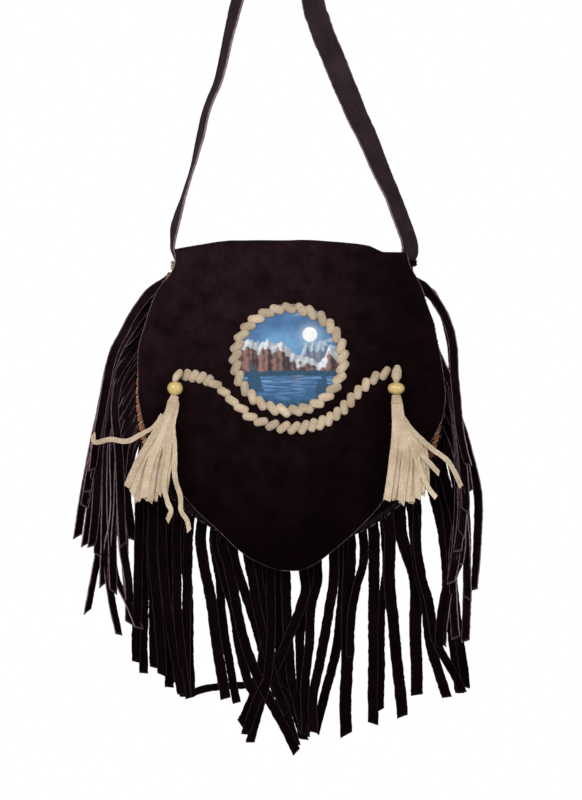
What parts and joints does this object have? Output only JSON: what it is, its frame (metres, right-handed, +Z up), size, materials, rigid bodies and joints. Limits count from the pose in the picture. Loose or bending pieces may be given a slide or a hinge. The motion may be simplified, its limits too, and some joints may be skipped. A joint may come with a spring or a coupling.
{
  "type": "fringed leather shoulder bag",
  "caption": "Round suede shoulder bag with a fold-over flap, laced medallion, beaded tassels and long fringe, hanging from its flat strap.",
  "frame": {"origin": "underside of the strap at the top of its loop, where a peg or hook holds it", "axes": "+Z up along the hanging bag, -Y towards the front of the flap, +X to the right seen from the front"},
  "size_m": [0.3832, 0.0587, 0.7888],
  "materials": {
    "dark_brown_suede": "napped suede",
    "tan_suede_lace": "napped suede",
    "orange_tan_lace": "smooth lace",
    "yellow_wood_bead": "glossy lacquer",
    "blue_painted_leather": "painted leather with a satin varnish"
  },
  "bodies": {
    "bag": {"back_panel": "dark_brown_suede", "front_panel": "dark_brown_suede", "fringe_left": "dark_brown_suede", "fringe_bottom": "dark_brown_suede", "fringe_right": "dark_brown_suede", "seam_lace": "orange_tan_lace", "strap": "dark_brown_suede", "strap_tie_left": "tan_suede_lace", "strap_tie_right": "dark_brown_suede"},
    "flap": {"flap": "dark_brown_suede", "medallion_disc": "blue_painted_leather", "medallion_lace": "tan_suede_lace", "swag_lace": "tan_suede_lace"},
    "tassel_left": {"bead_left": "yellow_wood_bead", "tassel_thong_left": "tan_suede_lace", "tassel_left": "tan_suede_lace"},
    "tassel_right": {"bead_right": "yellow_wood_bead", "tassel_thong_right": "tan_suede_lace", "tassel_right": "tan_suede_lace"}
  },
  "joints": [
    {"name": "flap_fold", "type": "hinge", "parent": "bag", "child": "flap", "pos_m": [0.0081, 0, -0.3304], "axis": [-1, 0, 0], "range_deg": [0, 150]},
    {"name": "tassel_left_swing", "type": "hinge", "parent": "flap", "child": "tassel_left", "pos_m": [-0.0948, -0.0245, -0.4432], "axis": [0, 1, 0], "range_deg": [-20, 20]},
    {"name": "tassel_right_swing", "type": "hinge", "parent": "flap", "child": "tassel_right", "pos_m": [0.1031, -0.0248, -0.4432], "axis": [0, 1, 0], "range_deg": [-20, 20]}
  ]
}
